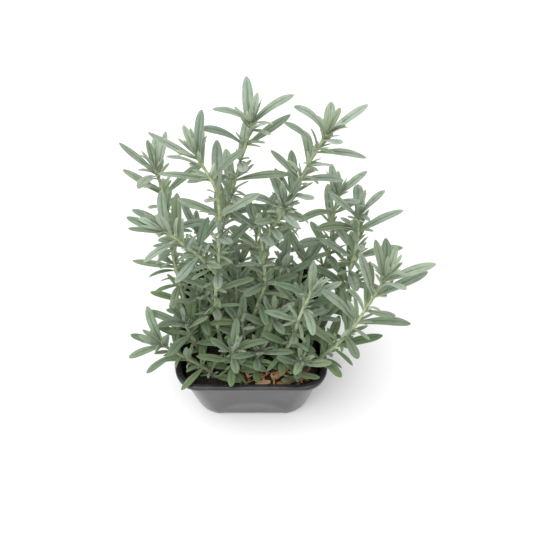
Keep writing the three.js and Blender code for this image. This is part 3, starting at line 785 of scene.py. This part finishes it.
def splinter(roll):
    """Points and values of a small sharp splinter lying on the soil between the chips."""
    x, y, turn = -9 + 44 * roll(), -38.5 + 16 * roll(), math.radians(360 * roll())
    long, wide, rise = 1.2 + 3.2 * roll() ** 2, 0.3 + 0.55 * roll(), 0.5 * (roll() - 0.4)
    points = []
    for s in np.linspace(-1, 1, 6):
        width = wide * (1 - 0.75 * s * s) * (0.8 + 0.4 * roll())
        for a in np.radians(60 * np.arange(6)):
            u, v = s * long, width * math.cos(a)
            points.append((
                x + u * math.cos(turn) - v * math.sin(turn), y + u * math.sin(turn) + v * math.cos(turn),
                soil_height(x, y) + 0.9 + rise * s + 0.4 * width * math.sin(a)))
    return points, {"along": np.repeat(np.linspace(-1, 1, 6), 6), "across": np.tile(np.arange(6) / 6, 6)}


def make_splinters(material):
    builder, roll = Builder(("along", "across", "tint")), dice(777)
    for _ in range(110):
        points, values = splinter(roll)
        builder.add(points, tube_faces(6, 6), tint=roll(), **values)
    dress(builder.make("bark_splinters", [material]), "bark")


def make_bark(material):
    for i, (at, size, turn, tilt) in enumerate(CHIPS):
        builder = Builder(("along", "across", "tint"))
        points, faces, values = torn_chip(at, size, turn, tilt, i + 11)
        builder.add(points, faces, tint=CHIP_TINTS[i], **values)
        piece = builder.make(f"bark_chip_{i + 1}_torn", [material])
        shade_by_angle(piece, 32)
        dress(piece, "bark", f"bark_chip_{i + 1}")


# Materials


class Nodes:
    """Short way to write a procedural material."""

    def __init__(self, name):
        self.material = bpy.data.materials.new(name)
        self.material.use_nodes = True
        self.tree = self.material.node_tree
        self.shader = self.tree.nodes["Principled BSDF"]

    def add(self, kind, **settings):
        node = self.tree.nodes.new("ShaderNode" + kind)
        for key, value in settings.items():
            setattr(node, key, value)
        return node

    def link(self, source, target):
        self.tree.links.new(source, target)

    def feed(self, value, socket):
        """Links a node's output to a socket, or sets a plain value on it."""
        if isinstance(value, bpy.types.NodeSocket):
            self.link(value, socket)
        else:
            socket.default_value = value

    def value(self, name):
        return self.add("Attribute", attribute_name=name).outputs["Fac"]

    def math(self, operation, a, b=0.0, clamp=False):
        node = self.add("Math", operation=operation, use_clamp=clamp)
        self.feed(a, node.inputs[0])
        self.feed(b, node.inputs[1])
        return node.outputs[0]

    def times(self, a, b):
        return self.math("MULTIPLY", a, b)

    def mix(self, factor, a, b, blend="MIX"):
        node = self.add("Mix", data_type="RGBA", blend_type=blend)
        self.feed(factor, node.inputs["Factor"])
        for value, socket in ((a, node.inputs[6]), (b, node.inputs[7])):
            self.feed(value if isinstance(value, bpy.types.NodeSocket) else (*value, 1), socket)
        return node.outputs[2]

    def ramp(self, value, *stops):
        """Smooth step of a value through (place, height) stops."""
        node = self.add("ValToRGB")
        node.color_ramp.interpolation = "EASE"
        elements = node.color_ramp.elements
        while len(elements) < len(stops):
            elements.new(0.5)
        for element, (place, height) in zip(elements, stops):
            element.position = place
            element.color = (height, height, height, 1)
        self.feed(value, node.inputs[0])
        return node.outputs["Color"]

    def noise(self, vector, scale, detail=4.0, rough=0.55):
        node = self.add("TexNoise")
        node.inputs["Scale"].default_value = scale
        node.inputs["Detail"].default_value = detail
        node.inputs["Roughness"].default_value = rough
        self.feed(vector, node.inputs["Vector"])
        return node.outputs["Fac"]

    def place(self):
        return self.add("TexCoord").outputs["Object"]

    def parts(self, vector):
        node = self.add("SeparateXYZ")
        self.feed(vector, node.inputs[0])
        return node.outputs

    def join(self, x, y, z):
        node = self.add("CombineXYZ")
        for value, socket in zip((x, y, z), node.inputs):
            self.feed(value, socket)
        return node.outputs[0]

    def bump(self, height, distance, strength, after=None):
        node = self.add("Bump")
        node.inputs["Strength"].default_value = strength
        node.inputs["Distance"].default_value = distance
        self.feed(height, node.inputs["Height"])
        if after is not None:
            self.link(after, node.inputs["Normal"])
        return node.outputs[0]

    def finish(self, colour, roughness, normal=None, **plain):
        self.feed(colour, self.shader.inputs["Base Color"])
        self.feed(roughness, self.shader.inputs["Roughness"])
        if normal is not None:
            self.link(normal, self.shader.inputs["Normal"])
        for name, value in plain.items():
            self.shader.inputs[name.replace("_", " ")].default_value = value
        return self.material


def leaf_material():
    """Grey felt over green, greener and darker low down and under crowded leaves, partly the older
    leaves' own colour and partly painted shade, with painted shade in the groove and a painted highlight
    on its raised sides, faint veins and pale rims.
    """
    n = Nodes("lavender_leaf")
    across, along, tint, age_and_shade, under, young = (n.value(k) for k in LEAF_VALUES)
    width = n.math("ABSOLUTE", across)
    # Darker, greener leaves where the age value is low, and grey below, which scales the paler mixes,
    # lower there too: low down partly the older leaves' own colour and partly painted shade, under
    # crowded leaves painted shade
    colour = n.mix(n.ramp(age_and_shade, (0.03, 0), (0.5, 1)), (0.065, 0.125, 0.028), (0.265, 0.335, 0.245))
    grey = n.math("ADD", n.times(age_and_shade, 0.8), 0.2)
    green = n.times(n.ramp(tint, (0.0, 1), (0.4, 0)), 0.8)
    colour = n.mix(green, colour, (0.06, 0.105, 0.045))
    second = n.math("FRACT", n.times(tint, 7.3))
    colour = n.mix(n.times(n.ramp(second, (0.0, 1), (0.4, 0)), 0.45), colour, (0.235, 0.27, 0.125))
    blue = n.times(n.times(n.ramp(second, (0.6, 0), (1, 1)), 0.5), grey)
    colour = n.mix(blue, colour, (0.24, 0.32, 0.31))
    pale = n.times(n.times(n.ramp(tint, (0.2, 0), (1, 1)), 0.7), grey)
    colour = n.mix(pale, colour, (0.385, 0.435, 0.38))
    patch = n.noise(n.place(), 260, 3)
    colour = n.mix(n.times(n.ramp(patch, (0.4, 0), (0.65, 1)), 0.4), colour, (0.12, 0.2, 0.1))
    colour = n.mix(n.times(n.times(under, 0.5), grey), colour, (0.36, 0.41, 0.35))
    colour = n.mix(n.times(n.times(young, 0.92), grey), colour, (0.62, 0.73, 0.47))
    # Pale band on the raised sides of the groove: a painted highlight
    shoulder = n.times(n.ramp(width, (0.12, 0), (0.34, 1)), n.ramp(width, (0.4, 1), (0.78, 0)))
    colour = n.mix(n.times(n.times(shoulder, 0.3), grey), colour, (0.46, 0.52, 0.43))
    # Dark midline along the leaf: painted shade in the groove
    groove = n.ramp(width, (0.03, 1), (0.2, 0))
    groove = n.times(groove, n.math("SUBTRACT", 1.0, n.math("POWER", along, 3.0)))
    groove = n.times(groove, n.math("SUBTRACT", 0.72, n.times(young, 0.6)))
    colour = n.mix(groove, colour, (0.05, 0.1, 0.035))
    rim = n.times(n.times(n.ramp(width, (0.8, 0), (0.97, 1)), 0.6), grey)
    colour = n.mix(rim, colour, (0.54, 0.59, 0.5))
    base = n.times(n.ramp(along, (0.0, 1), (0.25, 0)), 0.85)
    colour = n.mix(base, colour, (0.46, 0.53, 0.27))
    veins = n.noise(n.join(n.times(across, 5.0), n.math("ADD", n.times(along, 4.0),
                    n.times(width, 2.0)), n.times(tint, 30.0)), 2.2, 3)
    colour = n.mix(n.times(n.ramp(veins, (0.45, 0), (0.6, 1)), 0.2), colour, (0.08, 0.15, 0.06))
    felt = n.noise(n.place(), 3600, 3, 0.7)
    felted = n.times(n.times(n.ramp(felt, (0.5, 0), (0.68, 1)), 0.34), grey)
    colour = n.mix(felted, colour, (0.52, 0.565, 0.51))
    # Greener and darker still where the age value is low: low down partly the older leaves' own colour
    # and partly painted shade, under crowded leaves painted shade
    low = n.times(n.ramp(age_and_shade, (0.02, 1), (0.5, 0)), 0.42)
    colour = n.mix(low, colour, (0.075, 0.14, 0.025))
    normal = n.bump(veins, 0.0004, 0.5)
    normal = n.bump(felt, 0.0003, 0.6, normal)
    return n.finish(colour, 0.8, normal, Sheen_Weight=0.3, Sheen_Roughness=0.45,
                    Sheen_Tint=(0.9, 0.95, 0.88, 1), Specular_IOR_Level=0.3,
                    Subsurface_Weight=0.1, Subsurface_Scale=0.0012,
                    Subsurface_Radius=(0.5, 1.0, 0.35))


def stem_material():
    """Pale downy yellow-green, browner by the soil."""
    n = Nodes("lavender_stem")
    # On the stems the age value holds only the height above the soil, with no painted shade
    age_and_shade, tint = n.value("age_and_shade"), n.value("tint")
    colour = n.mix(n.ramp(age_and_shade, (0.0, 0), (0.22, 1)), (0.11, 0.105, 0.05), (0.42, 0.48, 0.27))
    colour = n.mix(n.times(tint, 0.3), colour, (0.3, 0.36, 0.24))
    streak = n.noise(n.place(), 420, 3)
    colour = n.mix(n.times(n.ramp(streak, (0.42, 0), (0.62, 1)), 0.6), colour, (0.14, 0.19, 0.09))
    down = n.noise(n.place(), 3000, 3, 0.7)
    colour = n.mix(n.times(n.ramp(down, (0.45, 0), (0.65, 1)), 0.45), colour, (0.5, 0.54, 0.42))
    normal = n.bump(down, 0.0002, 0.5)
    return n.finish(colour, 0.8, normal, Sheen_Weight=0.4, Sheen_Roughness=0.4,
                    Sheen_Tint=(0.95, 0.97, 0.88, 1), Specular_IOR_Level=0.25)


def pot_material():
    """Glossy black moulded plastic with a fine orange-peel, faint flow marks and a painted reflection of
    the floor as a lighter arc low on the front wall.
    """
    n = Nodes("pot_black_plastic")
    spot = n.noise(n.place(), 55, 3)
    flow = n.noise(n.place(), 420, 2)
    colour = n.mix(n.ramp(spot, (0.35, 0), (0.7, 1)), (0.012, 0.012, 0.013), (0.03, 0.03, 0.031))
    rough = n.math("ADD", n.times(spot, 0.16), 0.14)
    # Lighter arc low on the front wall: a painted reflection of the bright floor
    x, y, z = n.parts(n.place())
    top = n.math("SUBTRACT", 0.026, n.times(n.math("POWER", n.math("ABSOLUTE", x), 2.0), 32.0))
    painted_reflection_arc = n.ramp(n.times(n.math("SUBTRACT", top, z), 90.0), (0.0, 0), (0.8, 1))
    painted_reflection_arc = n.times(painted_reflection_arc, n.ramp(n.times(z, 60.0), (0.0, 0.35), (1, 1)))
    painted_reflection_arc = n.times(painted_reflection_arc, n.ramp(n.times(y, -30.0), (0.3, 0), (0.9, 1)))
    colour = n.mix(n.times(painted_reflection_arc, 0.8), colour, (0.085, 0.085, 0.083))
    normal = n.bump(spot, 0.0012, 0.22)
    normal = n.bump(flow, 0.00012, 0.12, normal)
    return n.finish(colour, rough, normal, IOR=1.45, Coat_Weight=0.08, Coat_Roughness=0.2)


def soil_material():
    n = Nodes("damp_soil")
    tint = n.value("tint")
    grain = n.noise(n.place(), 900, 5, 0.65)
    colour = n.mix(n.ramp(grain, (0.35, 0), (0.7, 1)), (0.008, 0.006, 0.005), (0.05, 0.034, 0.022))
    colour = n.mix(n.times(n.ramp(tint, (0.55, 0), (1, 1)), 0.6), colour, (0.09, 0.055, 0.03))
    fine = n.noise(n.place(), 2600, 4, 0.7)
    normal = n.bump(fine, 0.0004, 0.7)
    return n.finish(colour, n.math("ADD", n.times(grain, 0.3), 0.65), normal,
                    Specular_IOR_Level=0.3)


def bark_material():
    """Golden, fibrous broken bark with darker streaks."""
    n = Nodes("golden_bark")
    along, across, tint = n.value("along"), n.value("across"), n.value("tint")
    fibre = n.noise(n.join(n.times(along, 1.2), n.times(across, 9.0),
                           n.times(tint, 20.0)), 2.4, 5)
    dark = n.mix(n.ramp(fibre, (0.35, 0), (0.65, 1)), (0.03, 0.014, 0.007), (0.19, 0.09, 0.04))
    gold = n.mix(n.ramp(fibre, (0.35, 0), (0.62, 1)), (0.24, 0.1, 0.03), (0.72, 0.43, 0.19))
    colour = n.mix(n.ramp(tint, (0.1, 0), (0.5, 1)), dark, gold)
    colour = n.mix(n.times(n.ramp(tint, (0.65, 0), (1, 1)), 0.6), colour, (0.82, 0.6, 0.38))
    grain = n.noise(n.place(), 1500, 4, 0.7)
    colour = n.mix(n.times(n.ramp(grain, (0.5, 0), (0.7, 1)), 0.5), colour, (0.1, 0.045, 0.018))
    normal = n.bump(fibre, 0.0006, 0.7)
    normal = n.bump(grain, 0.0002, 0.5, normal)
    return n.finish(colour, 0.85, normal, Specular_IOR_Level=0.25)


# Stage, lights and camera


FLOOR_GREY = 0.86
FLOOR_REACH = 40.0
WORLD_STRENGTH = 0.68
SUN_TOWARDS = (-0.32, -0.2, 1.0)
SUN_SOFTNESS = 80
SUN_STRENGTH = 3.0


def make_stage():
    n = Nodes("floor_paper")
    n.finish((FLOOR_GREY, FLOOR_GREY, FLOOR_GREY, 1), 0.6, Specular_IOR_Level=0.2)
    mesh = bpy.data.meshes.new("floor")
    corners = [(x * FLOOR_REACH, y * FLOOR_REACH, 0) for x, y in ((-1, -1), (1, -1), (1, 1), (-1, 1))]
    mesh.from_pydata(corners, [], [(0, 1, 2, 3)])
    mesh.materials.append(n.material)
    floor = bpy.data.objects.new("floor", mesh)
    bpy.context.scene.collection.objects.link(floor)


def add_sun(name, towards, softness, strength):
    """Broad soft light that falls from the given side on the whole floor alike."""
    lamp = bpy.data.lights.new(name, "SUN")
    lamp.angle, lamp.energy = math.radians(softness), strength
    holder = bpy.data.objects.new(name, lamp)
    holder.rotation_euler = (-Vector(towards)).to_track_quat("-Z", "Y").to_euler()
    bpy.context.scene.collection.objects.link(holder)


def make_lights():
    world = bpy.data.worlds.new("soft_daylight")
    world.use_nodes = True
    world.node_tree.nodes["Background"].inputs["Color"].default_value = (1.0, 1.0, 1.0, 1)
    world.node_tree.nodes["Background"].inputs["Strength"].default_value = WORLD_STRENGTH
    bpy.context.scene.world = world
    bpy.context.scene.view_settings.view_transform = "Standard"
    add_sun("window", SUN_TOWARDS, SUN_SOFTNESS, SUN_STRENGTH)


def make_camera():
    camera = bpy.data.cameras.new("camera")
    camera.lens = CAMERA_LENS
    holder = bpy.data.objects.new("camera", camera)
    holder.location = [c * MM for c in CAMERA_AT]
    holder.rotation_euler = (math.radians(90 - CAMERA_ELEVATION), 0, 0)
    bpy.context.scene.collection.objects.link(holder)
    bpy.context.scene.camera = holder


make_camera()
make_lights()
make_stage()
make_pot(pot_material())
make_soil(soil_material())
bark = bark_material()
make_bark(bark)
make_splinters(bark)
make_foliage(leaf_material(), stem_material())
